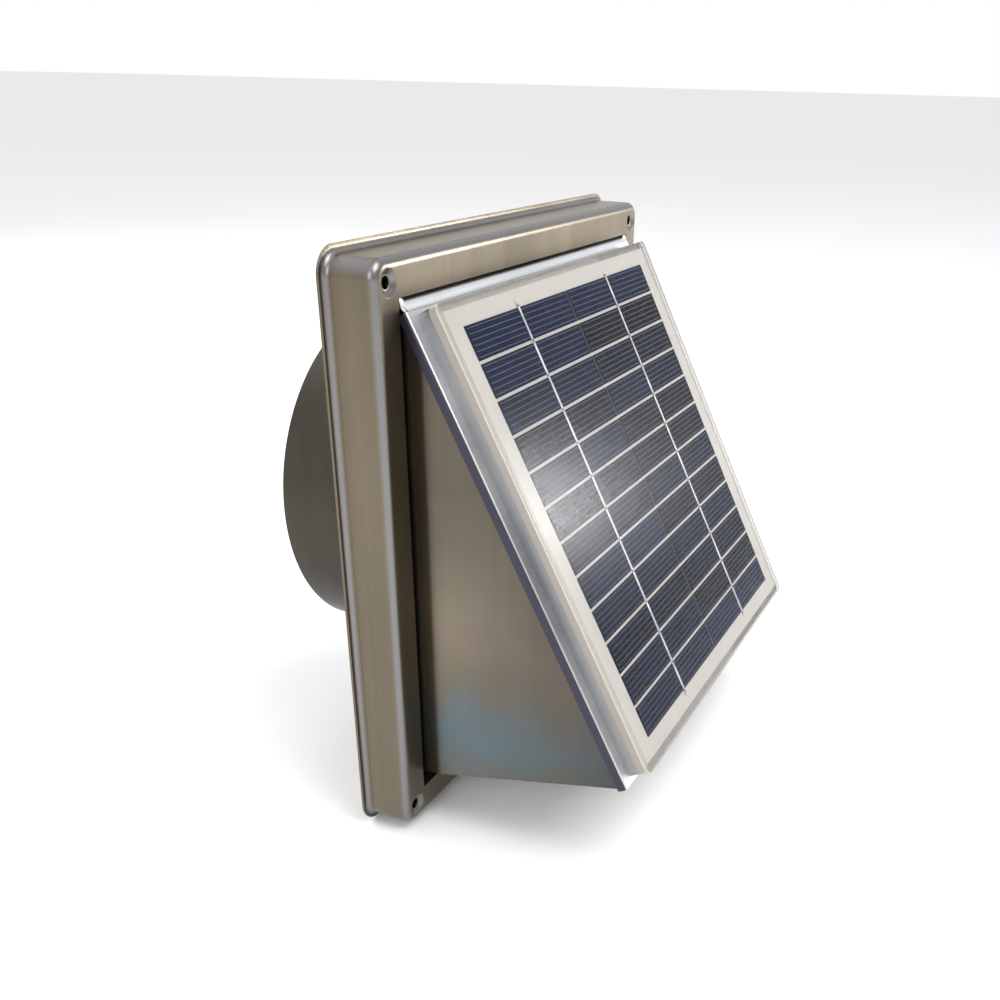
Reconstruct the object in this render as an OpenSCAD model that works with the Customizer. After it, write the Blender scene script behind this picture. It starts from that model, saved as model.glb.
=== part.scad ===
// Solar powered wall vent: a square stainless base, a sloped hood that carries a solar panel,
// and a round duct spigot with a direct-drive axial fan in it.
// Millimetres. +X is to the right seen from outside, -Y points out of the wall and +Z is up.
// The origin is on the duct's axis, in the plane of the wall.
//
// Most modules are written in the wall frame: x right, y up, z out of the wall. stand() turns
// that frame upright. on_slope() gives a frame on the hood's sloped face: x right, y up the
// slope with 0 at its top edge, z out of the face.

/* [Base] */
// Outer width and height of the square base
base_w = 235; // [228:1:242]
// Depth from the wall to the front rim
base_d = 21.5; // [20:0.5:24]
// Width of the flat front rim
rim_w = 14; // [13:0.5:15]
// Width of the lip that flares out at the wall
lip_w = 3; // [2:0.5:4]
// Corner radius of the base, seen from the front
corner_r = 7; // [6:0.5:8]
// Thickness of the base's sheet
base_t = 1; // [0.8:0.1:1.2]
// Distance of the screw holes from the outer edges
hole_inset = 8.2; // [8:0.1:9]
// Radius of the wall screws' holes
hole_r = 2.25; // [2:0.05:2.5]

/* [Hood] */
// Outer width of the hood
hood_w = 207; // [206:0.5:207]
// Height of the sloped face's top edge above the duct's axis
hood_top = 103.6; // [103:0.1:104]
// Angle of the sloped face from the vertical, in degrees
slope_a = 28.1; // [26:0.1:30]
// Length of the sloped face
slope_l = 201.6; // [198:0.2:205]
// Height of the cheeks' bottom edge at the wall side, below the duct's axis
cheek_low = 96.5; // [94:0.5:98]
// Thickness of the hood's sheet
hood_t = 0.8; // [0.7:0.1:1]

/* [Solar panel] */
// Width of the panel
panel_w = 196.2; // [190:0.2:198]
// Length of the panel along the slope
panel_l = 192.5; // [190:0.5:193]
// Distance from the slope's top edge to the panel
panel_v = 6.9; // [6:0.1:8]
// Height of the pan under the panel
tray_h = 5; // [4:0.5:6]
// Thickness of the whole laminate, glass included
laminate_t = 4.4; // [4:0.1:5]
// Rows of cells
cell_rows = 12; // [8:1:16]
// Columns of cells
cell_cols = 2; // [1:1:3]
// Height of the field of cells
field_l = 171.8; // [160:0.2:175]
// Width of the field of cells
field_w = 171.6; // [160:0.2:175]
// Gap between rows of cells
row_gap = 1.2; // [0.8:0.1:1.6]
// Gap between columns of cells
col_gap = 0.7; // [0.5:0.1:1.5]

/* [Duct and fan] */
// Outer radius of the duct spigot
spigot_r = 76; // [75:0.5:77]
// Length of the spigot behind the wall plane
spigot_l = 63; // [58:1:70]
// Number of fan blades
blades = 7; // [5:1:9]
// Angle of the blades to the fan's plane, in degrees
blade_pitch = 34; // [25:1:40]
// Radius of the blades' tips
tip_r = 70.3; // [66:0.1:71]
// Radius of the motor's can
motor_r = 17.8; // [16:0.1:18]
// Radius of the motor's shaft
shaft_r = 1.6; // [1.5:0.1:2]

/* [Hidden] */
$fn = 64;
FINE = 96;

STEEL = [0.5, 0.47, 0.42];
DARK_STEEL = [0.36, 0.36, 0.36];
PLASTIC = [0.12, 0.12, 0.13];
WHITE = [0.86, 0.83, 0.79];
NAVY = [0.08, 0.09, 0.2];
COPPER = [0.72, 0.45, 0.2];
TIN = [0.72, 0.72, 0.72];

base_half = base_w / 2;
open_half = base_half - rim_w;
hole_at = base_half - hole_inset;

// Back plate, and the flanges stacked on it, by their distance from the wall
plate_z = 3;
plate_t = 1.2;
plate_top = plate_z + plate_t;
spigot_t = 0.8;
flare_z = 0.6;
flare_t = 1;
flange_r = 86;
flange_top = plate_top + spigot_t;
ring_flange_t = 1.2;
ring_top = flange_top + ring_flange_t;
rivet_circle_r = 81;
rivets = 6;
rivet_r = 1.6;
hole_play = 0.05;

// Hood
hood_half = hood_w / 2;
cheek_x = hood_half - hood_t;
joggle = 1.2;
joggle_from = base_d + 1;
joggle_to = base_d + 8;
cheek_flange_w = 10;
cheek_gap = 0.05;
top_flange_y = hood_top - 1.3;
top_bend_r = 3;
bend_run = 2;
return_w = 4;
fold_r = 1.2;
hem_w = 6;
cheek_screw_x = cheek_x - joggle - 5;
cheek_screw_ys = [-80, 0, 80];

// Panel stack, by height above the sloped face
tray_t = 0.8;
board_t = 3.1;
cell_t = 0.25;
ribbon_t = 0.15;
seal_t = 0.5;
board_top = tray_h + board_t;
cell_top = board_top + cell_t;
seal_top = board_top + seal_t;
cover_top = tray_h + laminate_t;
panel_corner_r = 3;
seal_w = 3;
field_v = panel_v + 10.1;
cell_w = (field_w - (cell_cols - 1) * col_gap) / cell_cols;
cell_l = (field_l - (cell_rows - 1) * row_gap) / cell_rows;
ribbon_w = 1.3;
ribbon_over = 3;
ribbons_per_cell = 1;
tray_screw_x = 80;
tray_screw_vs = [30, 176];
boss_r = 4;

// Junction box, centred at box_v down the slope
box_v = 60;
box_w = 48;
box_l = 34;
box_t = 2;
box_depth = 9;
lid_t = 2;
gland_r = 3.8;
gland_l = 9;
gland_z = -4.8;
lead_r = 2;

// Fan, by distance from the wall; negative is inside the duct
ring_back = -40;
ring_outer_r = spigot_r - spigot_t - 0.4;
ring_inner_r = ring_outer_r - 2;
can_back = -14;
can_front = 10;
can_t = 1.2;
cap_top = 14;
cap_boss_top = 17;
sleeve_r = motor_r + 2.7;
hub_r = 22;
hub_front = -17;
hub_back = -34;
hub_t = 2.2;
shaft_front = 15.5;
shaft_back = -37;
bearing_r = 4.5;
running_play = 0.05;
blade_t = 1.6;
blade_camber_r = 60;
guard_wire_r = 1;
guard_screw_at = 70;
guard_tab_t = 1.2;
guard_arms = 4;

function slope_y(v, w) = hood_top - v * cos(slope_a) + w * sin(slope_a);
function slope_z(v, w) = base_d + v * sin(slope_a) + w * cos(slope_a);
// Points on an arc about [cx, cy] from angle a0 to a1
function arc(cx, cy, r, a0, a1, n = 8) =
    [for (i = [0:n]) let (a = a0 + (a1 - a0) * i / n) [cx + r * cos(a), cy + r * sin(a)]];

module stand() { rotate([90, 0, 0]) children(); }
module on_slope() { translate([0, hood_top, base_d]) rotate([-slope_a, 0, 0]) children(); }

// A slab between heights z0 and z1
module slab(z0, z1) { translate([0, 0, z0]) linear_extrude(z1 - z0) children(); }
// A solid cylinder between heights z0 and z1
module rod(r, z0, z1, fn = $fn) { translate([0, 0, z0]) cylinder(r = r, h = z1 - z0, $fn = fn); }
// A tube between heights z0 and z1
module tube(r_out, r_in, z0, z1) {
    difference() {
        rod(r_out, z0, z1, FINE);
        rod(r_in, z0 - 1, z1 + 1, FINE);
    }
}
module rounded_rect(w, l, r) {
    square([w - 2 * r, l], center = true);
    square([w, l - 2 * r], center = true);
    for (x = [-1, 1], y = [-1, 1]) {
        translate([x * (w / 2 - r), y * (l / 2 - r)]) circle(r);
    }
}
module at_corners(d) {
    for (x = [-1, 1], y = [-1, 1]) translate([x * d, y * d, 0]) children();
}
module around(count, start = 0) {
    for (i = [0:count - 1]) rotate([0, 0, start + i * 360 / count]) children();
}

// ---- Base ----

// Section of the base's outer wall: x from the corner's centre outwards, y from the wall
module base_section() {
    edge_r = 3.5;
    flare_r = lip_w - 0.5;
    lip_t = 1;
    polygon(concat(
        [[0, base_d - base_t], [0, base_d]],
        arc(corner_r - edge_r, base_d - edge_r, edge_r, 90, 0),
        arc(corner_r + flare_r, lip_t + flare_r, flare_r, 180, 270),
        [[corner_r + lip_w, lip_t], [corner_r + lip_w, 0], [corner_r - base_t, 0]],
        arc(corner_r - edge_r, base_d - edge_r, edge_r - base_t, 0, 90)
    ));
}
module base_shell() {
    centre = base_half - corner_r;
    around(4) {
        translate([centre, 0, 0]) rotate([90, 0, 0]) {
            linear_extrude(2 * centre, center = true) base_section();
        }
        translate([centre, centre, 0]) rotate_extrude(angle = 90) base_section();
    }
    slab(base_d - base_t, base_d) difference() {
        square(2 * centre, center = true);
        square(2 * open_half, center = true);
    }
    slab(plate_top, base_d) difference() {
        square(2 * (open_half + base_t), center = true);
        square(2 * open_half, center = true);
    }
}
module base_frame() {
    dimple_d = 1.3;
    dimple_r = 4.9;
    seat_r = 2.7;
    color(STEEL) stand() difference() {
        union() {
            base_shell();
            at_corners(hole_at) translate([0, 0, base_d - base_t - dimple_d]) {
                cylinder(r1 = seat_r + 0.9, r2 = dimple_r + 0.4, h = dimple_d);
            }
        }
        at_corners(hole_at) {
            translate([0, 0, base_d - dimple_d]) cylinder(r1 = seat_r, r2 = dimple_r, h = dimple_d);
            rod(hole_r, base_d - 4, base_d + 1);
        }
    }
}
module back_plate() {
    plate_play = 0.4;
    half = base_half - base_t - plate_play;
    color(DARK_STEEL) stand() slab(plate_z, plate_top) difference() {
        rounded_rect(2 * half, 2 * half, corner_r - base_t);
        circle(spigot_r + flare_t + hole_play, $fn = FINE);
        around(rivets, 30) translate([rivet_circle_r, 0]) circle(rivet_r + hole_play);
        for (x = [-1, 1], y = [-1, 1]) translate([x * hole_at, y * hole_at]) circle(hole_r + 0.75);
        for (x = [-1, 1], y = cheek_screw_ys) translate([x * cheek_screw_x, y]) circle(1.5);
    }
}
module duct_spigot() {
    inner_r = spigot_r - spigot_t;
    color(DARK_STEEL) stand() difference() {
        union() {
            rod(spigot_r, -spigot_l, flare_z, FINE);
            translate([0, 0, flare_z]) {
                cylinder(h = plate_top - flare_z, r1 = spigot_r, r2 = spigot_r + flare_t, $fn = FINE);
            }
            rod(flange_r, plate_top, flange_top, FINE);
        }
        rod(inner_r, -spigot_l - 1, flange_top + 1, FINE);
        around(rivets, 30) translate([rivet_circle_r, 0, 0]) {
            rod(rivet_r + hole_play, plate_top - 1, flange_top + 1);
        }
    }
}
module flange_rivets() {
    head_r = 3.2;
    tail_r = 2.6;
    tail_l = 1.6;
    color(TIN) stand() around(rivets, 30) translate([rivet_circle_r, 0, 0]) {
        rod(rivet_r, plate_z - tail_l, ring_top);
        rod(tail_r, plate_z - tail_l, plate_z);
        rod(head_r, ring_top, ring_top + 0.6);
        translate([0, 0, ring_top + 0.6]) cylinder(r1 = head_r, r2 = head_r - 1.4, h = 1);
    }
}

// ---- Hood ----

// Section of a cheek seen from above: x outwards, y away from the wall
module cheek_section() {
    steps = 10;
    back_x = cheek_x - joggle;
    curve = [for (i = [0:steps]) let (s = i / steps)
        [back_x + joggle * (1 - cos(180 * s)) / 2, joggle_from + (joggle_to - joggle_from) * s]];
    far = slope_z(slope_l, 0) + 5;
    inner = [for (i = [steps:-1:0]) [curve[i][0] - hood_t, curve[i][1]]];
    polygon(concat(
        [[back_x - cheek_flange_w, plate_top], [back_x, plate_top]],
        curve,
        [[cheek_x, far], [cheek_x - hood_t, far]],
        inner,
        [[back_x - hood_t, plate_top + hood_t], [back_x - cheek_flange_w, plate_top + hood_t]]
    ));
}
// Outline of a cheek seen from the side: x away from the wall, y up
module cheek_outline() {
    under = -hood_t - cheek_gap;
    top = top_flange_y - hood_t - cheek_gap;
    v_top = (hood_top - top) / cos(slope_a);
    polygon([
        [plate_top, -cheek_low],
        [base_d, -cheek_low],
        [slope_z(slope_l, under), slope_y(slope_l, under)],
        [slope_z(v_top, under) - 1, top],
        [plate_top, top]
    ]);
}
module hood_side() {
    height = 2 * hood_top + 40;
    difference() {
        intersection() {
            rotate([90, 0, 0]) linear_extrude(height, center = true) cheek_section();
            rotate([0, -90, 0]) linear_extrude(4 * hood_half, center = true) cheek_outline();
        }
        for (y = cheek_screw_ys) {
            translate([cheek_screw_x, y, 0]) rod(rivet_r + hole_play, plate_top - 1, plate_top + 3);
        }
    }
}
module hood_side_right() { color(STEEL) stand() hood_side(); }
module hood_side_left() { color(STEEL) stand() mirror([1, 0, 0]) hood_side(); }

// Section of the sloped sheet: a shallow channel whose sides fold back over the cheeks
module slope_section() {
    inner_r = fold_r - hood_t;
    right = concat(
        arc(hood_half - fold_r, -fold_r, fold_r, 90, 0),
        [[hood_half, -return_w], [hood_half - hood_t, -return_w]],
        arc(hood_half - fold_r, -fold_r, inner_r, 0, 90)
    );
    n = len(right);
    polygon(concat(right, [for (i = [n - 1:-1:0]) [-right[i][0], right[i][1]]]));
}
// Side view of the flange that leads from the sloped face back into the base
module top_bend_section() {
    c_y = top_flange_y - top_bend_r;
    corner_z = slope_z((hood_top - top_flange_y) / cos(slope_a), 0);
    c_z = corner_z - top_bend_r * (1 - sin(slope_a)) / cos(slope_a);
    run = bend_run;
    end_out = [c_z + top_bend_r * cos(slope_a) + run * sin(slope_a),
               c_y + top_bend_r * sin(slope_a) - run * cos(slope_a)];
    polygon(concat(
        [[plate_top, top_flange_y - hood_t], [plate_top, top_flange_y]],
        arc(c_z, c_y, top_bend_r, 90, slope_a),
        [end_out, end_out - hood_t * [cos(slope_a), sin(slope_a)]],
        arc(c_z, c_y, top_bend_r - hood_t, slope_a, 90)
    ));
}
module hood_front() {
    flat_half = hood_half - fold_r - 0.3;
    hem_half = cheek_x - hood_t - 1;
    start = (hood_top - top_flange_y) / cos(slope_a) + top_bend_r * tan(45 - slope_a / 2) + bend_run;
    color(STEEL) stand() difference() {
        union() {
            on_slope() translate([0, -start, 0]) rotate([90, 0, 0]) {
                linear_extrude(slope_l - start) slope_section();
            }
            rotate([0, -90, 0]) {
                linear_extrude(2 * flat_half, center = true) top_bend_section();
            }
            on_slope() translate([-hem_half, 0.2 - slope_l, -hem_w]) {
                cube([2 * hem_half, hood_t, hem_w - hood_t]);
            }
        }
        on_slope() translate([0, -box_v, 0]) cube([box_w + 4, box_l + 4, 6], center = true);
        on_slope() for (x = [-1, 1], v = tray_screw_vs) {
            translate([x * tray_screw_x, -v, 0]) rod(rivet_r + 0.3, -3, 3);
        }
    }
}
module pan_screw(head_r, head_h, shank_r, shank_l) {
    rod(shank_r, -shank_l, 0);
    difference() {
        union() {
            rod(head_r, 0, head_h * 0.5);
            translate([0, 0, head_h * 0.5]) cylinder(r1 = head_r, r2 = head_r * 0.7, h = head_h * 0.5);
        }
        for (a = [0, 90]) rotate([0, 0, a]) {
            translate([0, 0, head_h]) cube([head_r * 1.1, 0.7, head_h], center = true);
        }
    }
}
module cheek_screws() {
    color(TIN) stand() for (x = [-1, 1], y = cheek_screw_ys) {
        translate([x * cheek_screw_x, y, plate_top + hood_t]) pan_screw(3.4, 2, 1.45, 4);
    }
}

// ---- Solar panel ----

module panel_outline(inset = 0) {
    translate([0, -panel_v - panel_l / 2]) {
        rounded_rect(panel_w - 2 * inset, panel_l - 2 * inset, panel_corner_r - inset);
    }
}
module panel_tray() {
    color(DARK_STEEL) stand() on_slope() {
        difference() {
            slab(0, tray_h) panel_outline();
            slab(-1, tray_h - tray_t) panel_outline(tray_t);
            translate([0, -box_v, tray_h]) cube([36, 22, 4], center = true);
        }
        for (x = [-1, 1], v = tray_screw_vs) translate([x * tray_screw_x, -v, 0]) {
            tube(boss_r, rivet_r + hole_play, 0, tray_h - tray_t);
        }
    }
}
module tray_screws() {
    color(TIN) stand() on_slope() for (x = [-1, 1], v = tray_screw_vs) {
        translate([x * tray_screw_x, -v, -hood_t]) rotate([180, 0, 0]) {
            pan_screw(3.5, 2.2, rivet_r, 4.2);
        }
    }
}
module panel_board() {
    color(WHITE) stand() on_slope() slab(tray_h, board_top) panel_outline();
}
module panel_edge_seal() {
    color(WHITE) stand() on_slope() slab(board_top, seal_top) difference() {
        panel_outline();
        translate([0, -panel_v - panel_l / 2]) {
            square([panel_w - 2 * seal_w, panel_l - 2 * seal_w], center = true);
        }
    }
}
module panel_cover() {
    color([0.8, 0.85, 0.85, 0.4]) stand() on_slope() slab(seal_top, cover_top) panel_outline();
}
function cell_x(col) = -field_w / 2 + cell_w / 2 + col * (cell_w + col_gap);
module solar_cells() {
    color(NAVY) stand() on_slope() for (row = [0:cell_rows - 1], col = [0:cell_cols - 1]) {
        translate([cell_x(col), -field_v - cell_l / 2 - row * (cell_l + row_gap), 0]) {
            slab(board_top, cell_top) square([cell_w, cell_l], center = true);
        }
    }
}
module cell_ribbons() {
    color(TIN) stand() on_slope() for (col = [0:cell_cols - 1], k = [0:ribbons_per_cell - 1]) {
        offset_x = (k - (ribbons_per_cell - 1) / 2) * cell_w / ribbons_per_cell;
        translate([cell_x(col) + offset_x, -field_v - field_l / 2, 0]) {
            slab(cell_top, cell_top + ribbon_t) {
                square([ribbon_w, field_l + 2 * ribbon_over], center = true);
            }
        }
    }
}

// ---- Junction box and lead ----

module at_box() { on_slope() translate([0, -box_v, 0]) children(); }
module junction_box() {
    top = tray_h - tray_t;
    color(PLASTIC) stand() at_box() difference() {
        slab(-box_depth, top) rounded_rect(box_w, box_l, 3);
        slab(-box_depth - 1, top - box_t) rounded_rect(box_w - 2 * box_t, box_l - 2 * box_t, 1.5);
        translate([0, 0, top]) cube([14, 8, 6], center = true);
        translate([0, -box_l / 2, gland_z]) rotate([90, 0, 0]) rod(gland_r - 1, -3, 3);
        for (x = [-1, 1]) translate([x * (box_w / 2 - 1), 0, 0]) rod(0.5, -box_depth - 1, -4);
    }
}
module junction_box_lid() {
    color(PLASTIC) stand() at_box() difference() {
        slab(-box_depth - lid_t, -box_depth) rounded_rect(box_w, box_l, 3);
        for (x = [-1, 1]) translate([x * (box_w / 2 - 4.5), 0, 0]) rod(1.2, -20, 0);
    }
}
module lid_screws() {
    color(TIN) stand() at_box() for (x = [-1, 1]) {
        translate([x * (box_w / 2 - 4.5), 0, -box_depth - lid_t]) rotate([180, 0, 0]) {
            pan_screw(2.2, 1.4, 1.15, 5);
        }
    }
}
module terminal_block() {
    color([0.85, 0.84, 0.8]) stand() at_box() difference() {
        slab(-5, tray_h - tray_t - box_t) square([24, 10], center = true);
        for (x = [-1, 1]) translate([x * 6, 0, 0]) rod(2, -6, -2);
    }
}
module cable_gland() {
    color(PLASTIC) stand() at_box() translate([0, -box_l / 2, gland_z]) rotate([90, 0, 0]) {
        difference() {
            union() {
                rod(gland_r - 1.05, -box_t, 0);
                rod(gland_r, 0, 4, 6);
                rod(gland_r - 1, 4, gland_l);
            }
            rod(lead_r, -box_t - 1, gland_l + 1);
        }
    }
}
// The lead leaves the terminal block through the gland, bends round and drops to the motor's cap
lead_bend_r = 10;
lead_y = 8;
lead_end_z = cap_top - 0.5;
bend_y = lead_y + lead_bend_r;
bend_v = (slope_y(0, gland_z) - bend_y - lead_bend_r * sin(slope_a)) / cos(slope_a);
bend_z = slope_z(bend_v, gland_z) - lead_bend_r * cos(slope_a);
lead_start_v = box_v + 5;
lead_sides = 12;
// Stations along the lead: [y, z, angle of the radius that points out of its bend]
lead_stations = concat(
    [[slope_y(lead_start_v, gland_z), slope_z(lead_start_v, gland_z), 90 - slope_a]],
    [for (i = [0:8]) let (a = 90 - slope_a + (90 + slope_a) * i / 8)
        [bend_y + lead_bend_r * cos(a), bend_z + lead_bend_r * sin(a), a]],
    [[lead_y, lead_end_z, 180]]
);
function lead_ring(s) = [for (k = [0:lead_sides - 1]) let (t = 360 * k / lead_sides)
    [lead_r * cos(t), s[0] + lead_r * sin(t) * cos(s[2]), s[1] + lead_r * sin(t) * sin(s[2])]];
module motor_lead() {
    last = len(lead_stations) - 1;
    color(PLASTIC) stand() polyhedron(
        points = [for (s = lead_stations) each lead_ring(s)],
        faces = concat(
            [[for (k = [0:lead_sides - 1]) k]],
            [[for (k = [lead_sides - 1:-1:0]) last * lead_sides + k]],
            [for (i = [0:last - 1], k = [0:lead_sides - 1])
                let (a = i * lead_sides, b = a + lead_sides, n = (k + 1) % lead_sides)
                [a + k, b + k, b + n, a + n]]
        )
    );
}

// ---- Fan ----

module fan_ring() {
    color(PLASTIC) stand() {
        difference() {
            union() {
                rod(ring_outer_r, ring_back, ring_top, FINE);
                rod(flange_r, flange_top, ring_top, FINE);
            }
            rod(ring_inner_r, ring_back - 1, ring_top + 1, FINE);
            around(rivets, 30) translate([rivet_circle_r, 0, 0]) {
                rod(rivet_r + hole_play, flange_top - 1, ring_top + 1);
            }
        }
        around(guard_arms, 45) difference() {
            intersection() {
                rod(ring_inner_r + 0.5, ring_back, ring_back + 4, FINE);
                translate([ring_inner_r - 3, 0, ring_back + 2]) cube([9, 7, 4], center = true);
            }
            translate([guard_screw_at, 0, 0]) rod(1.2, ring_back - 1, ring_back + 3.5);
        }
    }
}
module motor_spider() {
    arms = 4;
    arm_w = 7;
    arm_z = -1;
    arm_t = 3;
    color(PLASTIC) stand() {
        tube(sleeve_r, motor_r, -7, 8);
        around(arms, 45) intersection() {
            translate([motor_r + 1 + ring_inner_r / 2, 0, arm_z]) {
                cube([ring_inner_r, arm_w, arm_t], center = true);
            }
            tube(ring_inner_r, sleeve_r - 0.5, arm_z - arm_t, arm_z + arm_t);
        }
    }
}
module motor_can() {
    color(DARK_STEEL) stand() difference() {
        union() {
            rod(motor_r, can_back, can_front, FINE);
            rod(bearing_r + 1.5, can_back - 2.5, can_back);
        }
        rod(motor_r - can_t, can_back + can_t, can_front + 1, FINE);
        rod(bearing_r, can_back - 3, can_back + can_t + 1);
    }
}
module motor_end_cap() {
    boss_r_cap = bearing_r + 1.5;
    color(PLASTIC) stand() difference() {
        union() {
            rod(motor_r, can_front, cap_top, FINE);
            rod(boss_r_cap, cap_top, cap_boss_top);
        }
        rod(bearing_r, can_front - 1, cap_top);
        rod(shaft_r + 0.6, can_front, cap_boss_top - 1);
        translate([0, lead_y, 0]) rod(lead_r, lead_end_z, cap_top + 1);
        rod(motor_r - 4, can_front - 1, can_front + 1.5);
    }
}
module motor_magnets() {
    magnet_out = motor_r - can_t;
    magnet_in = magnet_out - 3;
    color([0.2, 0.2, 0.2]) stand() for (side = [0, 180]) rotate([0, 0, side - 65]) {
        translate([0, 0, -10]) rotate_extrude(angle = 130, $fn = FINE) {
            translate([magnet_in, 0]) square([magnet_out - magnet_in, 17]);
        }
    }
}
module motor_brushes() {
    color(COPPER) stand() for (side = [0, 180]) rotate([0, 0, side]) {
        translate([4.2, -1.5, 7.4]) cube([7, 3, 2.4]);
    }
}
module impeller_bearing() {
    color(COPPER) stand() tube(bearing_r, shaft_r + running_play, can_back - 2.5, can_back + can_t);
}
module rear_bearing() {
    color(COPPER) stand() tube(bearing_r, shaft_r + running_play, can_front + 1.5, cap_top);
}
module motor_shaft() {
    color(TIN) stand() rod(shaft_r, shaft_back, shaft_front);
}
armature_r = 13;
poles = 5;
slot_w = 2.4;
armature_z0 = -8;
armature_z1 = 3;
module armature_core() {
    color(TIN) stand() difference() {
        rod(armature_r, armature_z0, armature_z1);
        rod(shaft_r, armature_z0 - 1, armature_z1 + 1);
        around(poles) {
            translate([5, -slot_w / 2, armature_z0 - 1]) cube([10, slot_w, armature_z1 - armature_z0 + 2]);
            translate([8.5, 0, 0]) rod(2.6, armature_z0 - 1, armature_z1 + 1);
        }
    }
}
module armature_windings() {
    overhang = 2.2;
    color(COPPER) stand() around(poles) translate([8.5, 0, 0]) {
        rod(2.4, armature_z0 - overhang, armature_z1 + overhang);
    }
}
module commutator() {
    color(COPPER) stand() tube(4.1, shaft_r, armature_z1 + 3.6, 9.9);
}
// One cambered blade, drawn as its section and extruded outwards from the hub
module blade() {
    chord = 40;
    half_a = asin(chord / 2 / blade_camber_r);
    drop = blade_camber_r * cos(half_a / 2);
    mid_z = (hub_front + hub_back) / 2;
    translate([hub_r - 1.5, 0, mid_z]) rotate([0, 90, 0]) rotate([0, 0, 90 - blade_pitch]) {
        linear_extrude(tip_r) translate([0, -drop]) polygon(concat(
            arc(0, 0, blade_camber_r + blade_t / 2, 90 - half_a, 90 + half_a, 12),
            arc(0, 0, blade_camber_r - blade_t / 2, 90 + half_a, 90 - half_a, 12)
        ));
    }
}
module fan_impeller() {
    color(PLASTIC) stand() {
        difference() {
            rod(hub_r, hub_back, hub_front);
            rod(hub_r - hub_t, hub_back + hub_t, hub_front + 1);
            rod(shaft_r, hub_back - 1, hub_front + 1);
        }
        tube(4.5, shaft_r, hub_back + hub_t - 0.1, -20);
        intersection() {
            around(blades) blade();
            tube(tip_r, hub_r - 0.5, hub_back + 0.5, hub_front + 0.5);
        }
    }
}
module impeller_nut() {
    color(TIN) stand() difference() {
        rod(3.2, hub_back - 2.4, hub_back, 6);
        rod(shaft_r, hub_back - 3, hub_back + 1);
    }
}
module inlet_guard() {
    tab_w = 8;
    wire_z = ring_back - guard_tab_t - 0.8 * guard_wire_r;
    hoop_z = wire_z - 1.6 * guard_wire_r;
    hoop_step = 11;
    color(TIN) stand() {
        for (r = [10:hoop_step:65]) translate([0, 0, hoop_z]) {
            rotate_extrude($fn = FINE) translate([r, 0]) circle(guard_wire_r, $fn = 24);
        }
        around(guard_arms, 45) {
            translate([9, 0, wire_z]) rotate([0, 90, 0]) cylinder(r = guard_wire_r, h = 56.5, $fn = 24);
            difference() {
                translate([61, -tab_w / 2, ring_back - guard_tab_t]) cube([12, tab_w, guard_tab_t]);
                translate([guard_screw_at, 0, 0]) rod(1.6, ring_back - 3, ring_back + 1);
            }
        }
    }
}
module guard_screws() {
    color(TIN) stand() around(guard_arms, 45) {
        translate([guard_screw_at, 0, ring_back - guard_tab_t]) rotate([180, 0, 0]) {
            pan_screw(2.6, 1.6, 1.15, 4);
        }
    }
}

base_frame();
back_plate();
duct_spigot();
hood_front();
hood_side_left();
hood_side_right();
panel_tray();
panel_board();
panel_edge_seal();
solar_cells();
cell_ribbons();
panel_cover();
junction_box();
junction_box_lid();
terminal_block();
cable_gland();
motor_lead();
fan_ring();
motor_spider();
motor_can();
motor_end_cap();
motor_magnets();
motor_brushes();
impeller_bearing();
rear_bearing();
motor_shaft();
armature_core();
armature_windings();
commutator();
fan_impeller();
impeller_nut();
inlet_guard();
flange_rivets();
cheek_screws();
tray_screws();
guard_screws();
lid_screws();
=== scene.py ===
# %% [markdown]
# # A solar powered wall vent
# The real object is a square stainless base on a wall, a sloped hood with a small solar panel
# on it, and a duct spigot behind with a fan inside. The solid model already holds every piece
# at its true size, so this lesson adds what a solid model lacks: softened edges, brushed
# metal, silicon crystals, a hammered clear cover, and plain studio light.

# %% Load the frame
import bpy
import bmesh
import math
from mathutils import Matrix, Vector


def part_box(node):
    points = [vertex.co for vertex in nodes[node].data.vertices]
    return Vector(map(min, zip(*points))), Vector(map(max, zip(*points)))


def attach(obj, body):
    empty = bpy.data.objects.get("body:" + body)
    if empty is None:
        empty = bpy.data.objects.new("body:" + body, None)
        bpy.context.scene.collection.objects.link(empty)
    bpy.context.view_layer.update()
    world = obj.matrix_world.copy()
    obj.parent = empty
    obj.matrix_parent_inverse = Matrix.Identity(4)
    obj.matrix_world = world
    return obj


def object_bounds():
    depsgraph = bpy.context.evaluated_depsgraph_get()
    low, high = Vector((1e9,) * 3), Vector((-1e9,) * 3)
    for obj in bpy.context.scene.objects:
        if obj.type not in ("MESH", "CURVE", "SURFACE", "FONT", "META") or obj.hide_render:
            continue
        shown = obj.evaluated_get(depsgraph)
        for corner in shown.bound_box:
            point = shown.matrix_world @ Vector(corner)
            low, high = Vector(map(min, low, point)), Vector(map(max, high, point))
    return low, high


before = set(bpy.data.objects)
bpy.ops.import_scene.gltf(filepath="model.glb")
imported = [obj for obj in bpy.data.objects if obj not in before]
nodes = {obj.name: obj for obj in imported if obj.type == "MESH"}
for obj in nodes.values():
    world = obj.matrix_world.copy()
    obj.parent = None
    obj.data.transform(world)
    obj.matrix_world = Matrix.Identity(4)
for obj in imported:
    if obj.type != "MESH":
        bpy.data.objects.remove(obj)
cad_low, cad_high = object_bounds()
scene = bpy.context.scene
MM = 0.001
print("pieces in the frame:", len(nodes), "box:", tuple(cad_low), tuple(cad_high))

# %% [markdown]
# ## Measures taken from the frame
# The hood's face leans, so most patterns on it need a coordinate that runs down the slope. The
# field of cells is a thin flat slab, and the height and depth of its box give the lean. Typing
# the angle in again would work too, but it would go wrong as soon as the solid model changed.

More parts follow.
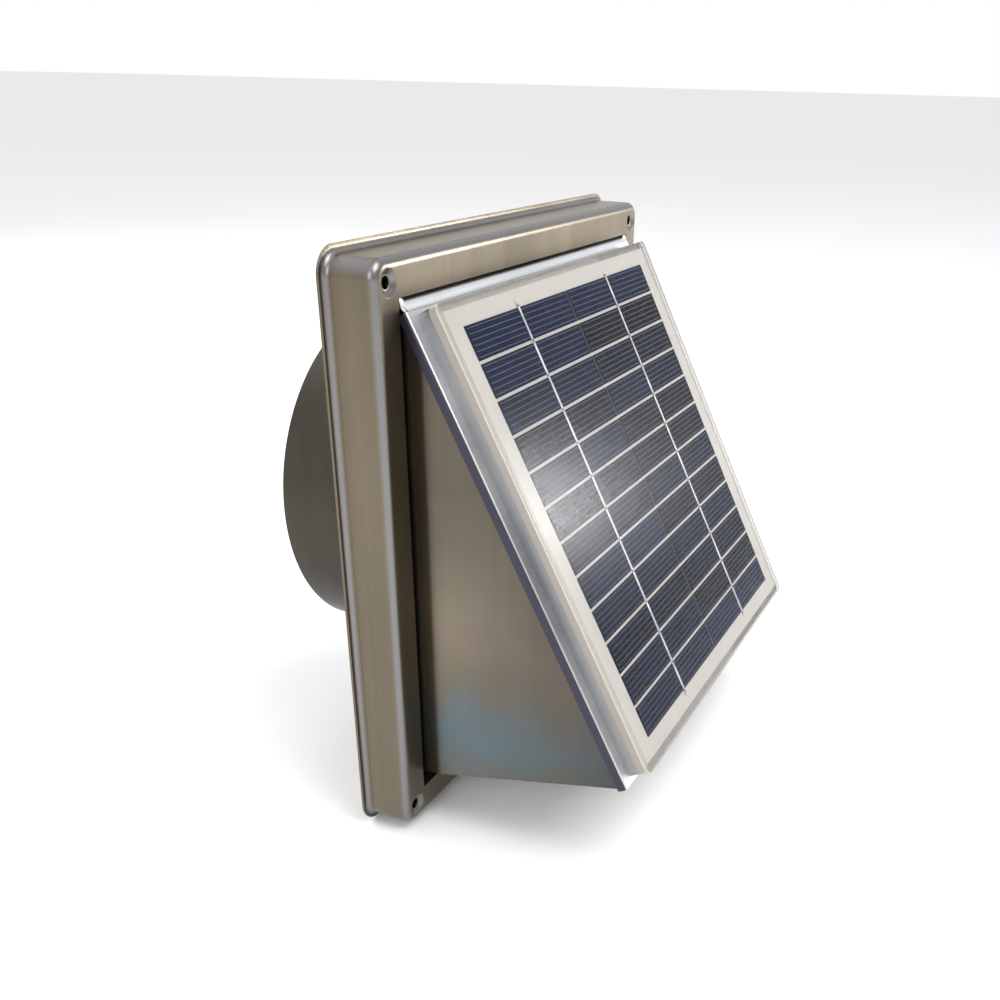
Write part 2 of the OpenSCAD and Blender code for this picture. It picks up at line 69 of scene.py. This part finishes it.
# %% Lean of the face
CELL_THICKNESS = 0.25 * MM
cells_low, cells_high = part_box("solar_cells")
field_depth = cells_high.y - cells_low.y
field_height = cells_high.z - cells_low.z
LEAN = math.atan2(field_depth - CELL_THICKNESS, field_height - CELL_THICKNESS / 2)
DOWN = Vector((0, -math.sin(LEAN), -math.cos(LEAN)))
OUT = Vector((0, -math.cos(LEAN), math.sin(LEAN)))
FIELD_TOP = Vector((0, cells_high.y, cells_high.z))
print("lean of the face:", round(math.degrees(LEAN), 2), "degrees")

# %% Pitch of the cells
ROWS = 12
ROW_GAP, COLUMN_GAP = 1.2 * MM, 0.7 * MM
FIELD_LENGTH = math.hypot(field_depth, field_height)
FIELD_WIDTH = cells_high.x - cells_low.x
PITCH = (FIELD_LENGTH + ROW_GAP) / ROWS
print("cells cover", round(FIELD_WIDTH / MM, 1), "x", round(FIELD_LENGTH / MM, 1), "mm, pitch",
      round(PITCH / MM, 2), "mm")

# %% [markdown]
# ## The camera
# The vent is seen from the left and above, close enough for strong perspective. A camera could
# be aimed with a Track To constraint, but that can't set its roll. Here the view is a place and
# two directions, and a rotation matrix takes the three axes that they give as its columns.

# %% Camera
def look(place, forward, right, focal, shift):
    camera = bpy.data.objects.new("camera", bpy.data.cameras.new("camera"))
    scene.collection.objects.link(camera)
    forward, right = Vector(forward).normalized(), Vector(right)
    right = (right - forward * right.dot(forward)).normalized()
    up = right.cross(forward)
    turn = Matrix((right, up, -forward)).transposed().to_4x4()
    camera.matrix_world = Matrix.Translation(Vector(place) * MM) @ turn
    camera.data.sensor_width = 36
    camera.data.lens = focal
    camera.data.shift_x, camera.data.shift_y = shift
    camera.data.clip_start = 0.01
    return camera


scene.camera = look((-420.8, -232.5, 170.9), (0.79569, 0.36377, -0.4843),
                    (0.42674, -0.90411, 0.02204), focal=37.68, shift=(-0.0632, 0.159))
print("camera at", tuple(round(c, 3) for c in scene.camera.location), "m")

# %% [markdown]
# ## Shader maths as Python
# A finish is a graph of nodes, which is tiresome to wire by hand. `Value` wraps one output
# socket, so `1 - mask * 0.5` adds the two Math nodes that it needs. Every other node is made by
# `Graph.add`, which takes the node's type, then its settings, then what goes into its sockets.

# %% Value
class Value:
    """One output socket of a graph, which can be used in Python expressions."""

    def __init__(self, graph, socket):
        self.graph, self.socket = graph, socket

    def maths(self, operation, *terms, clamp=False):
        settings = {"operation": operation, "use_clamp": clamp}
        return self.graph.add("ShaderNodeMath", settings, dict(enumerate(terms)))

    def __add__(self, other): return self.maths("ADD", self, other)
    def __radd__(self, other): return self.maths("ADD", other, self)
    def __sub__(self, other): return self.maths("SUBTRACT", self, other)
    def __rsub__(self, other): return self.maths("SUBTRACT", other, self)
    def __mul__(self, other): return self.maths("MULTIPLY", self, other)
    def __rmul__(self, other): return self.maths("MULTIPLY", other, self)
    def __truediv__(self, other): return self.maths("DIVIDE", self, other)
    def __rtruediv__(self, other): return self.maths("DIVIDE", other, self)
    def __lt__(self, other): return self.maths("LESS_THAN", self, other)
    def __gt__(self, other): return self.maths("GREATER_THAN", self, other)
    def __abs__(self): return self.maths("ABSOLUTE", self)
    def floor(self): return self.maths("FLOOR", self)
    def fract(self): return self.maths("FRACT", self)
    def larger(self, other): return self.maths("MAXIMUM", self, other)
    def clamp(self): return self.maths("ADD", self, 0.0, clamp=True)


print("Value wraps a socket")

# %% Graph and Finish
class Graph:
    """A node tree under construction, with one way to add any node."""

    def __init__(self, tree):
        self.tree = tree

    def plug(self, socket, value):
        if isinstance(value, Value):
            self.tree.links.new(value.socket, socket)
        elif socket.type == "RGBA" and len(value) == 3:
            socket.default_value = (*value, 1)
        else:
            socket.default_value = value

    def add(self, kind, settings=None, inputs=None, output=0):
        node = self.tree.nodes.new(kind)
        for key, value in (settings or {}).items():
            setattr(node, key, value)
        for key, value in (inputs or {}).items():
            self.plug(node.inputs[key], value)
        return Value(self, node.outputs[output])

    def mix(self, factor, first, second):
        return self.add("ShaderNodeMix", {"data_type": "RGBA"}, {0: factor, 6: first, 7: second}, output=2)

    def split(self, vector):
        outputs = self.add("ShaderNodeSeparateXYZ", inputs={0: vector}).socket.node.outputs
        return [Value(self, outputs[axis]) for axis in range(3)]


class Finish(Graph):
    """A material, which is a graph with a Principled shader at its end."""

    def __init__(self, name, **sockets):
        self.material = bpy.data.materials.new(name)
        self.material.use_nodes = True
        super().__init__(self.material.node_tree)
        self.shader = self.tree.nodes["Principled BSDF"]
        self.set(**sockets)

    def set(self, **sockets):
        for name, value in sockets.items():
            self.plug(self.shader.inputs[name.replace("_", " ")], value)

    def point(self):
        """The object's own coordinates in metres."""
        return self.add("ShaderNodeTexCoord", output=3)

    def facing(self):
        """The direction that the surface looks in."""
        return self.add("ShaderNodeNewGeometry", output=1)

    def stretched(self, scale):
        return self.add("ShaderNodeMapping", inputs={"Vector": self.point(), "Scale": scale})

    def noise(self, scale, detail=3.0, where=None):
        where = where or self.point()
        return self.add("ShaderNodeTexNoise", inputs={"Vector": where, "Scale": scale, "Detail": detail})

    def bump(self, height, distance):
        self.set(Normal=self.add("ShaderNodeBump", inputs={"Height": height, "Distance": distance}))


print("Graph.add makes any node; Finish is a material")

# %% [markdown]
# ## Softened edges
# A sheet-metal edge is never perfectly sharp, and the thin line of light along it is what makes
# it look real. Each solid gets three modifiers: Weld joins the facets of the solid model, Bevel
# rounds edges that turn by more than a set angle, and Weighted Normal keeps flat faces flat. A
# width of 0 only smooths the shading, which suits a flat plate with holes and a round cable.

# %% Soften and dress
SHARP_TURN = math.radians(28)
WELD_DISTANCE = 0.004 * MM

def soften(piece, width, segments):
    for polygon in piece.data.polygons:
        polygon.use_smooth = True
    if width:
        piece.modifiers.new("weld", "WELD").merge_threshold = WELD_DISTANCE
        bevel = piece.modifiers.new("bevel", "BEVEL")
        bevel.width = width * MM
        bevel.segments = segments
        bevel.limit_method = "ANGLE"
        bevel.angle_limit = SHARP_TURN
        piece.modifiers.new("normals", "WEIGHTED_NORMAL")


def dress(finish, *names, width=None, segments=2):
    """Give the pieces a finish, and round their edges by `width` millimetres if it is given."""
    for name in names:
        piece = nodes[name]
        piece.data.materials.clear()
        piece.data.materials.append(finish.material)
        if width is not None:
            soften(piece, width, segments)
    print(finish.material.name, "on", ", ".join(names))

# %% [markdown]
# ## Brushed stainless sheet
# Stainless sheet is sold with a grain: fine parallel scratches that spread a reflection across
# their direction. An image of scratches would repeat and stretch at the folds. Noise that is
# squeezed along one axis makes the grain everywhere instead. It drives the roughness and a very
# shallow bump, and a second, broad noise makes the faint cloudiness of handled metal.

# %% Steel
SCRATCH_STRETCH, CLOUD_STRETCH = 0.02, 0.22
SCRATCH_DEPTH = 0.006 * MM

# Each piece's steel colour is set far darker than real stainless, a painted shade matched to the light that
# the piece shows.
def steel(name, colour, roughness, along, cloud=1.0, tint_and_light=None):
    """Brushed sheet. An optional function of (finish, base colour) adds tint and painted light to it."""
    finish = Finish(name, Metallic=1.0)
    brushed = finish.stretched(tuple(SCRATCH_STRETCH if axis == along else 1.0 for axis in "xyz"))
    drawn = finish.stretched(tuple(CLOUD_STRETCH if axis == along else 1.0 for axis in "xyz"))
    fine = finish.noise(2600, detail=2.0, where=brushed)
    streak = finish.noise(300, where=brushed)
    clouds = finish.noise(26, detail=2.0, where=drawn)
    shade = (streak - 0.5) * 0.30 + (clouds - 0.5) * 1.3 * cloud + 0.5
    dark = tuple(c * k for c, k in zip(colour, (0.66, 0.68, 0.72)))
    light = tuple(min(1.0, c * k) for c, k in zip(colour, (1.42, 1.38, 1.30)))
    base = finish.mix(shade.clamp(), dark, light)
    finish.set(Base_Color=tint_and_light(finish, base) if tint_and_light else base)
    finish.set(Roughness=(fine - 0.5) * 0.14 + (clouds - 0.5) * 0.22 + roughness)
    finish.bump(fine * 0.6 + streak * 0.4, distance=SCRATCH_DEPTH)
    return finish


print("steel: scratches", SCRATCH_DEPTH / MM, "mm deep")

# %% [markdown]
# ## Pressed base
# The base ring is drawn in a press. Its rounded folds get a cooler, brighter colour than the flat sheet
# beside them, a painted reflection of the cool light that they catch. The fold is found by the direction of
# the surface: on flat sheet one part of that direction is nearly 1, and on a fold none is.

# %% Base ring
def fold_painted_reflection(finish, base):
    across, along, up = (abs(part) for part in finish.split(finish.facing()))
    fold = ((0.985 - across.larger(along).larger(up)) * 7.0).clamp()
    # The cool colour on the folds is a painted reflection.
    return finish.mix(fold * 0.7, base, (0.235, 0.24, 0.265))


dress(steel("base_steel", (0.165, 0.140, 0.105), 0.34, along="z", tint_and_light=fold_painted_reflection), "base_frame", width=0.25)

# %% [markdown]
# ## Colour on the cheeks
# Thin oxide and the film left from rolling give stainless a faint rainbow. On the cheeks the blue and the
# little rose low down are partly that tint and partly painted reflection. The lighter patch beside the base
# is painted light, and the darker front and the dark strip at the offset are painted shade. Each patch could
# be a mask painted as an image. Here it is a band of height or depth with a wandering edge, which stays with
# the sheet from every side.

# %% Cheeks
cheek_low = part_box("hood_side_left")[0]
base_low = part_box("base_frame")[0]
OFFSET_START = 10.5      # mm in front of the base, where the rolled offset begins

def band(height, middle, reach, wander):
    """1 at `middle`, falling to 0 at `reach` millimetres above and below it."""
    return (1 - abs((height - middle) / reach + wander)).clamp()


def cheek_oxide_and_painted_light(finish, base):
    y, z = finish.split(finish.point())[1:]
    drift = finish.noise(22, detail=2.0) - 0.5
    height = (z - cheek_low.z) / MM
    forward = (base_low.y - y) / MM
    # Blue low down and rose above: partly oxide tint, partly painted reflection.
    colour_and_painted_light = finish.mix(band(height, 30, 30, drift * 3.0) * 0.5, base, (0.10, 0.19, 0.25))
    colour_and_painted_light = finish.mix(band(height, 74, 24, drift * 3.0) * 0.22, colour_and_painted_light, (0.26, 0.19, 0.17))
    # A lighter patch beside the base: painted light.
    beside_base = (1 - forward / 55.0).clamp()
    painted_light_patch = band(height, 80, 50, drift * 1.2) * beside_base
    colour_and_painted_light = finish.mix(painted_light_patch * 0.7, colour_and_painted_light, (0.26, 0.225, 0.17))
    # Darker towards the front: painted shade.
    front = ((forward - 20.0) / 75.0).clamp()
    colour_and_painted_light = finish.mix(front * 0.68, colour_and_painted_light, (0.030, 0.031, 0.034))
    # A darker strip along the rolled offset: painted shade.
    offset = ((OFFSET_START - forward) / 4.0).clamp()
    return finish.mix(offset * 0.35, colour_and_painted_light, (0.045, 0.042, 0.038))


dress(steel("hood_steel", (0.135, 0.118, 0.092), 0.33, along="z", tint_and_light=cheek_oxide_and_painted_light),
      "hood_side_left", "hood_side_right", width=0.2)

# %% [markdown]
# ## Face of the hood
# The face sheet is bent down over both cheeks. Its bend gets a cream painted highlight and the turned side
# beyond it a dark purple painted shade. How far the surface looks sideways tells the two apart, so both
# colours follow the bend exactly and no edge has to be marked by hand.

# %% Hood face
def edge_painted_light(finish, base):
    sideways = abs(finish.split(finish.facing())[0])
    bend = (1 - abs(sideways - 0.42) * 5.0).clamp()
    turned = ((sideways - 0.6) * 5.0).clamp()
    # The cream on the bend is a painted highlight.
    painted_bend_highlight = finish.mix(bend * 0.8, base, (0.93, 0.90, 0.78))
    # The dark purple on the turned side is painted shade.
    return finish.mix(turned, painted_bend_highlight, (0.060, 0.056, 0.078))


# The face sheet is the same stainless as the cheeks; its far paler colour is a painted reflection of the
# bright room.
dress(steel("face_steel", (0.76, 0.79, 0.80), 0.36, along="x", cloud=0.5, tint_and_light=edge_painted_light),
      "hood_front", width=0.2)

# %% [markdown]
# ## Pan, spigot and back plate
# These are the same kind of sheet from other coils, so they differ in the direction of their grain and in how
# cloudy they are. Their colours differ too, a painted shade set for the light that each piece shows. One
# function with a few arguments covers them all.

# %% Plain sheet pieces
dress(steel("tray_steel", (0.27, 0.275, 0.29), 0.42, along="x", cloud=0.5), "panel_tray", width=0.5)
dress(steel("spigot_steel", (0.062, 0.056, 0.047), 0.38, along="z", cloud=1.2), "duct_spigot", width=0.2)
dress(steel("plate_steel", (0.20, 0.195, 0.185), 0.42, along="x"), "back_plate", width=0)

# %% [markdown]
# ## Coordinates on the sloped face
# The cells and ribbons are laid out down the slope. A UV map could carry that, but the solid
# model has none, so `on_face` works out two values at any point: metres to the right of the
# middle and metres down from the top of the cells. The second is a dot product with `DOWN`.

# %% on_face
def on_face(finish):
    x, y, z = finish.split(finish.point())
    return x, (y - FIELD_TOP.y) * DOWN.y + (z - FIELD_TOP.z) * DOWN.z


print("down the face is", tuple(round(c, 3) for c in DOWN))

# %% [markdown]
# ## Hammered ripple
# The clear cover has a faint hammered texture, and what lies under it is seen through that
# ripple. Modelling the dimples would take millions of faces. A smooth Voronoi texture makes
# shallow round ones, and noise makes them uneven.

# %% Hammered
DIMPLES_PER_METRE = 560.0

def hammered(finish, depth):
    dimples = finish.add("ShaderNodeTexVoronoi", {"feature": "SMOOTH_F1"},
                         {"Vector": finish.point(), "Scale": DIMPLES_PER_METRE, "Smoothness": 1.0})
    ripple = finish.noise(260, detail=2.0)
    finish.bump(dimples * 0.6 + ripple * 0.4, distance=depth * MM)
    return ripple


print("dimples about", round(1 / DIMPLES_PER_METRE / MM, 1), "mm apart")

# %% [markdown]
# ## Silicon cells
# A polycrystalline wafer is a quilt of flat crystals, each a slightly different blue. A Voronoi
# texture gives that quilt. Cut cells come from different wafers, so every cell also gets its
# own depth of blue from White Noise on its row and column. The printed silver lines run along
# each row and stop short of the cell's ends, and a little noise wears them unevenly.

# %% Cells
FINGERS = 6
FINGER_MARGIN = 1.2 * MM
CELL_WIDTH = (FIELD_WIDTH - COLUMN_GAP) / 2

def printed_lines(finish, x, within):
    """1 on a printed line. `within` runs from 0 to 1 down each cell."""
    line = abs((within * FINGERS).fract() - 0.5) < 0.07
    from_cell_middle = abs(abs(x) - (CELL_WIDTH + COLUMN_GAP) / 2)
    return line * (from_cell_middle < CELL_WIDTH / 2 - FINGER_MARGIN)


def cell_finish():
    finish = Finish("cell_silicon", Specular_IOR_Level=0.05)
    x, down = on_face(finish)
    within = (down / PITCH).fract() * (PITCH / (PITCH - ROW_GAP))
    number = (down / PITCH).floor() * 2.0 + (x > 0.0)
    own = finish.add("ShaderNodeTexWhiteNoise", {"noise_dimensions": "1D"}, {"W": number + 0.37})
    crystals = finish.add("ShaderNodeTexVoronoi", output=1,
                          inputs={"Vector": finish.stretched((0.8, 1.2, 1.2)), "Scale": 190.0})
    red, green = finish.split(crystals)[:2]
    sparkle = (red - 0.5) * 0.45 + own * 1.1 - 0.1
    deep = finish.mix(sparkle.clamp(), (0.0035, 0.0035, 0.0055), (0.004, 0.011, 0.044))
    wear = finish.noise(260, detail=2.0)
    ink = printed_lines(finish, x, within) * (wear * 0.5 + 0.42)
    finish.set(Base_Color=finish.mix(ink.clamp(), deep, (0.19, 0.205, 0.27)))
    finish.set(Roughness=0.25 + (green - 0.5) * 0.04)
    hammered(finish, depth=0.02)
    return finish


dress(cell_finish(), "solar_cells", width=0)

# %% [markdown]
# ## Ribbons
# A flat tinned copper ribbon runs down the middle of each column and joins its cells. It is soldered by hand,
# so it is bright, a little uneven, and duller where the solder flowed. Where it bends from one cell to the
# next it dips, and a short dark mark painted at each gap stands for the shade in that dip.

# %% Ribbons
DIP_SHADE_REACH = 0.5 * MM

def ribbon_finish():
    finish = Finish("ribbon_tin", Metallic=0.35)
    patches = finish.noise(160, detail=2.0)
    down = on_face(finish)[1]
    from_gap = abs((down / PITCH + 0.5 + ROW_GAP / PITCH / 2).fract() - 0.5) * PITCH
    # Painted shade at each gap, where the ribbon dips.
    painted_dip_shade = (from_gap < DIP_SHADE_REACH) * 0.75
    tin = finish.mix(((patches - 0.42) * 4.0).clamp(), (0.55, 0.55, 0.58), (0.96, 0.95, 0.93))
    finish.set(Base_Color=finish.mix(painted_dip_shade, tin, (0.06, 0.055, 0.06)))
    finish.set(Roughness=patches * 0.5 + 0.2)
    finish.bump(patches, distance=0.05 * MM)
    return finish


dress(ribbon_finish(), "cell_ribbons", width=0.05)

# %% [markdown]
# ## Board
# The off-white border is the face of a rigid board, seen through the clear cover, so it carries the same
# ripple. Its sides are coloured darker than the face, a painted shade. They could have a material of their
# own, but a colour for surfaces that look sideways does it in one.

# %% Board
def board_finish():
    finish = Finish("board_white", Roughness=0.4, Specular_IOR_Level=0.12)
    mottle = finish.noise(55, detail=4.0)
    face = finish.mix(((mottle - 0.3) * 1.6).clamp(), (0.68, 0.645, 0.60), (0.76, 0.725, 0.675))
    sideways = abs(finish.split(finish.facing())[0])
    # The darker colour on the sides is painted shade.
    painted_side_shade = ((sideways - 0.35) * 2.5).clamp()
    finish.set(Base_Color=finish.mix(painted_side_shade, face, (0.35, 0.315, 0.28)))
    hammered(finish, depth=0.03)
    return finish


dress(board_finish(), "panel_board", width=0.25)

# %% [markdown]
# ## Sealant
# A bead of clear sealant fills the edge between the board and the cover. Transmission would be
# the exact way to shade it. A very low Alpha with small bubbles in it looks the same on a bead
# this thin, and it is simpler to pass on with the finished model.

# %% Sealant
def sealant_finish():
    finish = Finish("edge_sealant", Roughness=0.35, Specular_IOR_Level=0.1)
    bubbles = finish.noise(380)
    finish.set(Base_Color=finish.mix(bubbles, (0.56, 0.53, 0.48), (0.70, 0.67, 0.61)))
    finish.set(Alpha=bubbles * 0.12 + 0.06)
    return finish


dress(sealant_finish(), "panel_edge_seal")

# %% [markdown]
# ## Clear cover
# The cover is nearly clear on its face and cloudy at its cut edge, where one looks through much
# more of it. Its Alpha follows how far the surface looks away from the face's own direction.

# %% Cover
def cover_finish():
    finish = Finish("panel_cover", Specular_IOR_Level=0.10)
    outward = abs(finish.add("ShaderNodeVectorMath", {"operation": "DOT_PRODUCT"},
                             {0: finish.facing(), 1: tuple(OUT)}, output=1))
    edge = 1 - ((outward - 0.3) * 3.0).clamp()
    ripple = hammered(finish, depth=0.03)
    finish.set(Alpha=edge * 0.66 + 0.14)
    finish.set(Base_Color=finish.mix(edge, (0.03, 0.032, 0.036), (0.46, 0.43, 0.39)))
    finish.set(Roughness=0.22 + edge * 0.2 + (ripple - 0.5) * 0.1)
    return finish


dress(cover_finish(), "panel_cover", width=0.3, segments=3)

# %% [markdown]
# ## Moulded plastic
# The fan, its ring and the junction box are black plastic. A mould is spark-eroded to a fine
# matt grain that the plastic copies, so one fine noise drives the bump and most of the
# roughness, and a broad one keeps large faces from looking printed.

# %% Plastic pieces
def plastic(name, colour, roughness, grain=0.02):
    finish = Finish(name)
    fine, broad = finish.noise(1500, detail=2.0), finish.noise(30, detail=2.0)
    lighter = tuple(c * 1.5 + 0.01 for c in colour)
    finish.set(Base_Color=finish.mix((broad * 0.6 + fine * 0.4).clamp(), colour, lighter))
    finish.set(Roughness=(fine - 0.5) * 0.2 + (broad - 0.5) * 0.12 + roughness)
    finish.bump(fine, distance=grain * MM)
    return finish


dress(plastic("black_plastic", (0.018, 0.018, 0.02), 0.42), "junction_box", "junction_box_lid", "cable_gland",
      "fan_ring", "motor_spider", "motor_end_cap", "fan_impeller", width=0.3)
dress(plastic("terminal_white", (0.55, 0.54, 0.5), 0.5), "terminal_block", width=0.1)
dress(plastic("cable_black", (0.012, 0.012, 0.012), 0.6, grain=0.04), "motor_lead", width=0)
dress(plastic("magnet_black", (0.04, 0.04, 0.042), 0.7, grain=0.05), "motor_magnets")

# %% [markdown]
# ## Motor, wire and fasteners
# The motor holds drawn steel, laminations, enamelled wire and sintered bronze, and the screws
# and rivets are bright. None of these is brushed in one direction, so plain noise in the colour,
# roughness and bump is enough, and only its scale changes from one metal to the next.

# %% Metal pieces
def metal(name, colour, roughness, grain=900):
    finish = Finish(name, Metallic=1.0)
    fine = finish.noise(grain)
    finish.set(Base_Color=finish.mix(fine, tuple(c * 0.7 for c in colour), colour))
    finish.set(Roughness=(fine - 0.5) * 0.25 + roughness)
    finish.bump(fine, distance=0.01 * MM)
    return finish


bright = metal("bright_steel", (0.72, 0.72, 0.73), 0.2)
dress(metal("motor_steel", (0.42, 0.43, 0.45), 0.34), "motor_can", width=0.1)
dress(metal("copper", (0.70, 0.36, 0.17), 0.3), "motor_brushes", "armature_windings", "commutator")
dress(metal("bronze", (0.52, 0.38, 0.2), 0.5), "impeller_bearing", "rear_bearing")
dress(metal("core_steel", (0.33, 0.33, 0.33), 0.5, grain=2200), "armature_core")
dress(bright, "motor_shaft")
dress(bright, "impeller_nut", "inlet_guard", width=0.1)
dress(metal("fastener_steel", (0.60, 0.60, 0.61), 0.28), "flange_rivets", "cheek_screws", "tray_screws",
      "guard_screws", "lid_screws", width=0.12)

# %% [markdown]
# ## Sealed corners
# Folding a sheet on three sides leaves a small opening where the folds meet, at the two top
# corners of the hood. The maker closes it with a dab of solder that is pressed flat while it is
# soft. Sculpting it would be slow, so each dab is a fine sphere squashed across the face and
# dented by a smooth wave.

# %% Corner solder
ACROSS = Vector((1, 0, 0))
DAB_HALF_WIDTH, DAB_HALF_LENGTH, DAB_HALF_HEIGHT = 1.3 * MM, 3.2 * MM, 1.1 * MM
DAB_BEHIND_COVER, DAB_ABOVE_COVER, DAB_INSET = 9.9 * MM, 4.4 * MM, 0.9 * MM
cover_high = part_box("panel_cover")[1]
cover_top = Vector((0, cover_high.y, cover_high.z))

def corner_dab(name, side, finish):
    body = bmesh.new()
    bmesh.ops.create_icosphere(body, subdivisions=4, radius=1.0)
    centre = (cover_top - OUT * DAB_BEHIND_COVER - DOWN * DAB_ABOVE_COVER
              + ACROSS * side * (abs(cheek_low.x) - DAB_INSET))
    for vertex in body.verts:
        at = vertex.co.copy()
        dent = 1 + 0.10 * math.sin(3.1 * at.x + 2.3 * at.y) * math.cos(2.7 * at.z + side)
        squashed = (ACROSS * at.x * DAB_HALF_WIDTH + DOWN * at.y * DAB_HALF_LENGTH
                    + OUT * at.z * DAB_HALF_HEIGHT)
        vertex.co = centre + squashed * dent
    mesh = bpy.data.meshes.new(name)
    body.to_mesh(mesh)
    body.free()
    for polygon in mesh.polygons:
        polygon.use_smooth = True
    mesh.materials.append(finish.material)
    piece = bpy.data.objects.new(name, mesh)
    scene.collection.objects.link(piece)
    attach(piece, "housing")
    print(name, "at", tuple(round(c / MM, 1) for c in centre), "mm")


def solder_finish():
    finish = Finish("corner_solder", Metallic=0.9)
    lumps = finish.noise(700)
    finish.set(Base_Color=finish.mix(lumps, (0.42, 0.41, 0.38), (0.86, 0.84, 0.78)))
    finish.set(Roughness=lumps * 0.3 + 0.18)
    finish.bump(lumps, distance=0.15 * MM)
    return finish


solder = solder_finish()
corner_dab("corner_solder_left", -1, solder)
corner_dab("corner_solder_right", 1, solder)

# %% [markdown]
# ## Floor
# A pale floor catches the soft shadow. It is one face, so large that its edge is lost in the
# distance, and it sits just under the object's lowest point.

# %% Floor
FLOOR_HALF_SIZE = 60.0      # metres
FLOOR_CLEARANCE = 0.5 * MM

def floor_finish():
    finish = Finish("floor", Roughness=0.9, Specular_IOR_Level=0.0)
    finish.set(Base_Color=finish.mix(finish.noise(3, detail=2.0), (0.93, 0.93, 0.93), (0.95, 0.95, 0.95)))
    return finish


def pale_floor():
    mesh = bpy.data.meshes.new("floor")
    corners = [(x * FLOOR_HALF_SIZE, y * FLOOR_HALF_SIZE, 0) for x, y in ((-1, -1), (1, -1), (1, 1), (-1, 1))]
    mesh.from_pydata(corners, [], [(0, 1, 2, 3)])
    mesh.materials.append(floor_finish().material)
    floor = bpy.data.objects.new("floor", mesh)
    floor.location.z = cad_low.z - FLOOR_CLEARANCE
    scene.collection.objects.link(floor)
    print("floor at z", round(floor.location.z / MM, 1), "mm")


pale_floor()

# %% [markdown]
# ## The room around it
# Brushed metal shows only what it reflects. A room with one white wall is brighter behind the
# object and dimmer in front, so the world's brightness grows with its Y direction. An evenly
# white world would put a haze over the dark cells.

# %% World
DIM_FRONT, WHITE_BACK = 0.55, 1.0

def room():
    world = bpy.data.worlds.new("studio")
    world.use_nodes = True
    graph = Graph(world.node_tree)
    y = graph.split(graph.add("ShaderNodeTexCoord"))[1]
    brightness = graph.add("ShaderNodeMapRange", inputs={
        "Value": y, "From Min": -0.6, "From Max": -0.1, "To Min": DIM_FRONT, "To Max": WHITE_BACK})
    graph.plug(world.node_tree.nodes["Background"].inputs["Color"], brightness)
    scene.world = world
    print("world from", DIM_FRONT, "in front to", WHITE_BACK, "behind")


room()

# %% [markdown]
# ## Lights
# Small lamps would give hard streaks on brushed metal, so three large ones do the work: one high
# in front for the panel, one on the left for the cheek and one behind. A fourth, small one
# stands where the cover mirrors it, and makes the soft patch of glare on the cells.

# %% Lights
def soft_light(name, place, size, power, aim=(0, 0, 0)):
    light = bpy.data.lights.new(name, "AREA")
    light.shape, light.size, light.size_y = "RECTANGLE", size[0], size[1]
    light.energy = power
    lamp = bpy.data.objects.new(name, light)
    lamp.location = place
    lamp.rotation_euler = (Vector(aim) - Vector(place)).to_track_quat("-Z", "Y").to_euler()
    scene.collection.objects.link(lamp)
    print(name, "light,", power, "W")


soft_light("key", (-0.2, -1.1, 1.6), (1.2, 1.2), 25)
soft_light("side", (-1.5, -0.2, 0.7), (0.8, 0.8), 6)
soft_light("back", (0.2, 1.4, 0.9), (1.0, 0.8), 8)
soft_light("glare", (0.87, -0.71, 0.21), (0.14, 0.14), 5, aim=(-0.11, -0.07, 0.02))
scene.view_settings.view_transform = "Standard"
